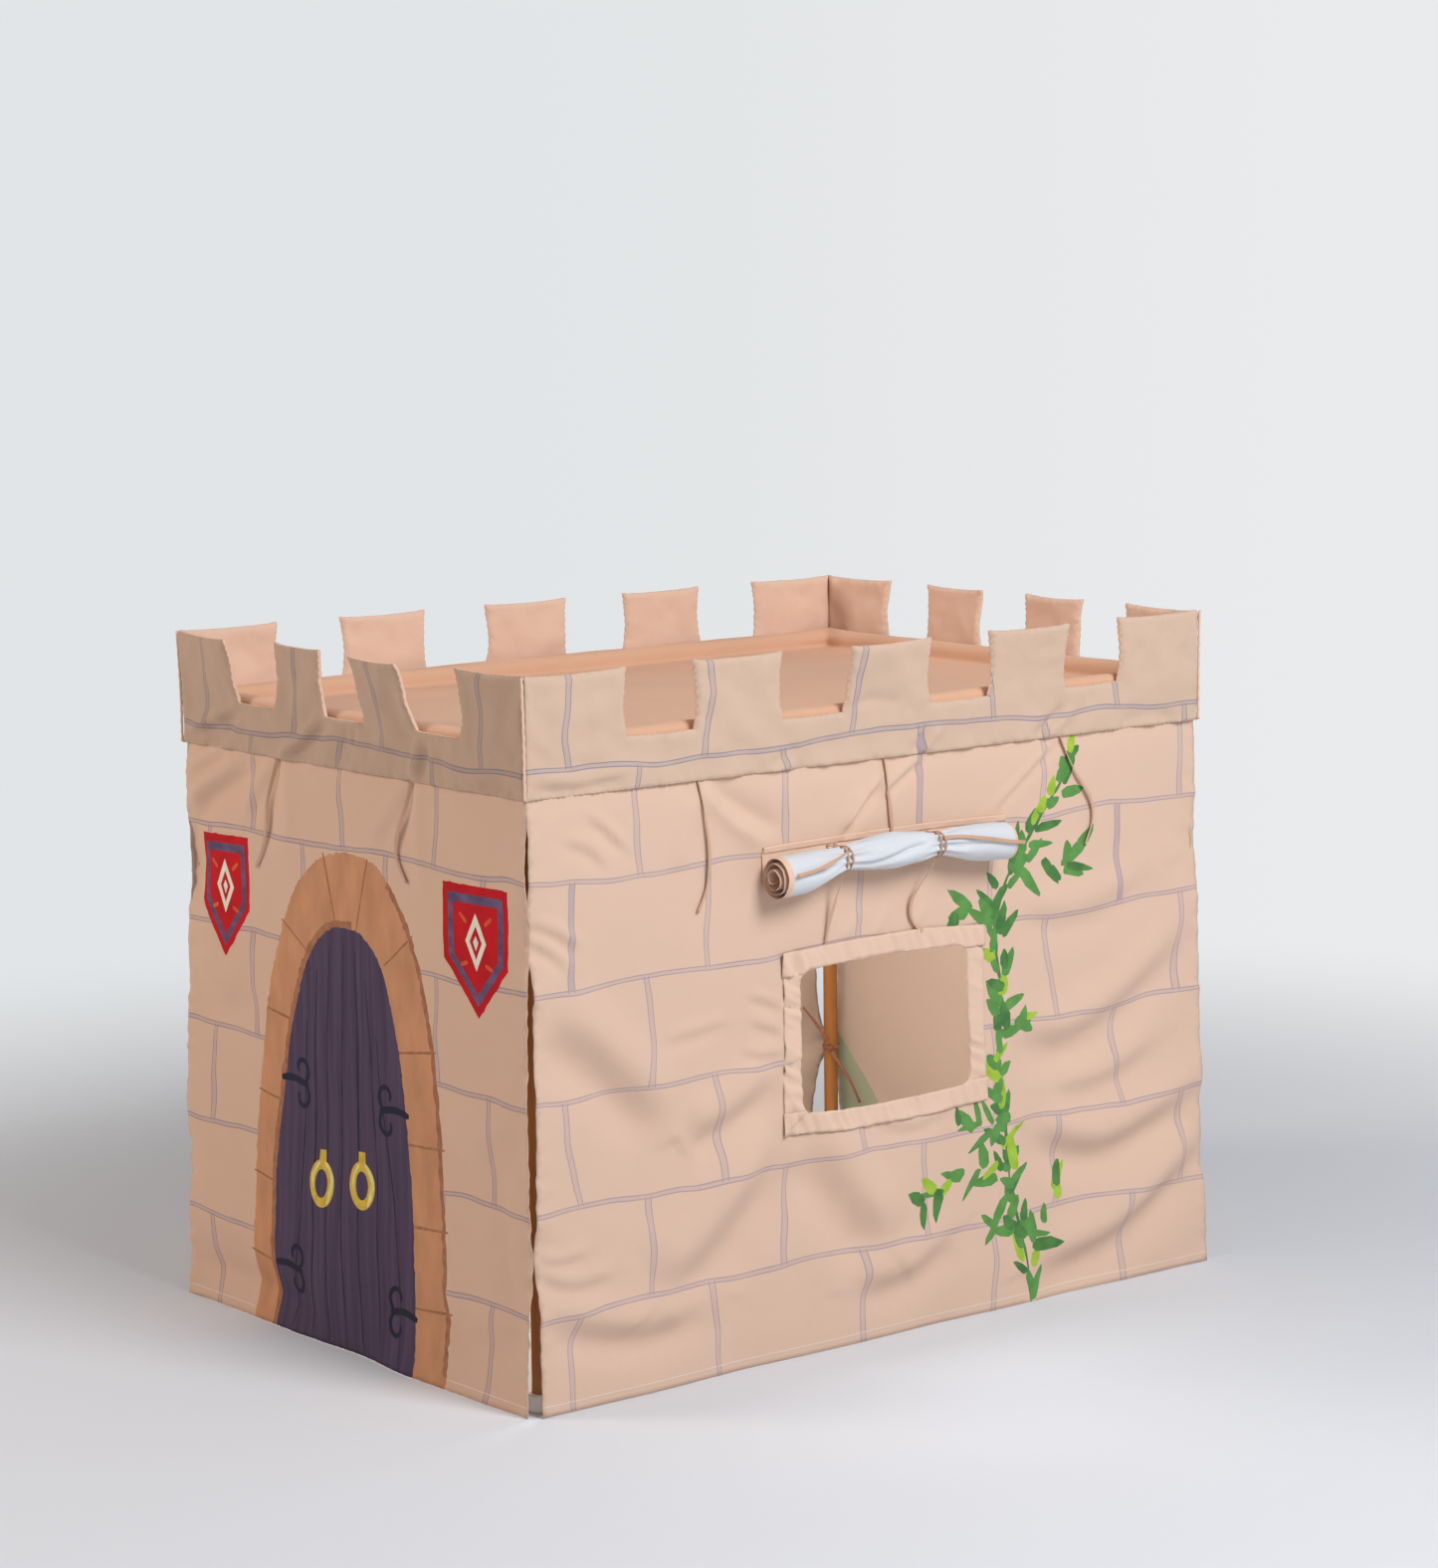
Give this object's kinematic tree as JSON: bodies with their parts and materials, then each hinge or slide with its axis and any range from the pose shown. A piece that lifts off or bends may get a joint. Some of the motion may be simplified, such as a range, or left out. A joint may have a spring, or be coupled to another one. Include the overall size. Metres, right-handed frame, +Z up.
{
  "type": "fabric play castle",
  "caption": "Child's play castle: a cloth cover with padded battlements hung over a frame of round wooden poles, with a door wall, a window opening and a rolled-up blind.",
  "frame": {"origin": "bottom centre of the bounding box without the free ribbons, on the floor", "axes": "+Z up, door wall faces -Y, window wall faces +X, long walls run along Y"},
  "size_m": [0.8893, 1.2257, 0.957],
  "materials": {
    "wall_cloth": "matte woven cloth, printed with stone courses",
    "battlement_cloth": "matte woven cloth, padded",
    "roof_cloth": "matte woven cloth",
    "blind_lining": "soft satin lining",
    "ribbon_tape": "stitched cloth tape",
    "pine": "sanded and clear lacquered",
    "white_plastic": "matte"
  },
  "bodies": {
    "root": {"battlement_back": "battlement_cloth", "battlement_front": "battlement_cloth", "battlement_left": "battlement_cloth", "battlement_right": "battlement_cloth", "blind_header": "wall_cloth", "blind_roll": "blind_lining", "blind_tail_left_hanging": "ribbon_tape", "blind_tail_left_over": "ribbon_tape", "blind_tail_right_hanging": "ribbon_tape", "blind_tail_right_over": "ribbon_tape", "blind_tie_left": "ribbon_tape", "blind_tie_right": "ribbon_tape", "corner_fitting_back_left": "white_plastic", "corner_fitting_back_right": "white_plastic", "corner_fitting_front_left": "white_plastic", "corner_fitting_front_right": "white_plastic", "corner_tie_back_left_lower": "ribbon_tape", "corner_tie_back_left_upper": "ribbon_tape", "corner_tie_back_right_lower": "ribbon_tape", "corner_tie_back_right_upper": "ribbon_tape", "corner_tie_front_left_lower": "ribbon_tape", "corner_tie_front_left_upper": "ribbon_tape", "corner_tie_front_right_lower": "ribbon_tape", "corner_tie_front_right_upper": "ribbon_tape", "foot_cap_back_left": "white_plastic", "foot_cap_back_right": "white_plastic", "foot_cap_front_left": "white_plastic", "foot_cap_front_right": "white_plastic", "pole_back_left": "pine", "pole_back_right": "pine", "pole_front_left": "pine", "pole_front_right": "pine", "rail_back": "pine", "rail_front": "pine", "rail_left": "pine", "rail_right": "pine", "ribbon_front_left": "ribbon_tape", "ribbon_front_right": "ribbon_tape", "ribbon_right_far": "ribbon_tape", "ribbon_right_middle": "ribbon_tape", "ribbon_right_near": "ribbon_tape", "roof_cover": "roof_cloth", "tie_tails_back_left_lower": "ribbon_tape", "tie_tails_back_left_upper": "ribbon_tape", "tie_tails_back_right_lower": "ribbon_tape", "tie_tails_back_right_upper": "ribbon_tape", "tie_tails_front_left_lower": "ribbon_tape", "tie_tails_front_left_upper": "ribbon_tape", "tie_tails_front_right_lower": "ribbon_tape", "tie_tails_front_right_upper": "ribbon_tape", "wall_back": "wall_cloth", "wall_front": "wall_cloth", "wall_left": "wall_cloth", "wall_right": "wall_cloth", "window_facing": "wall_cloth"}
  },
  "joints": []
}
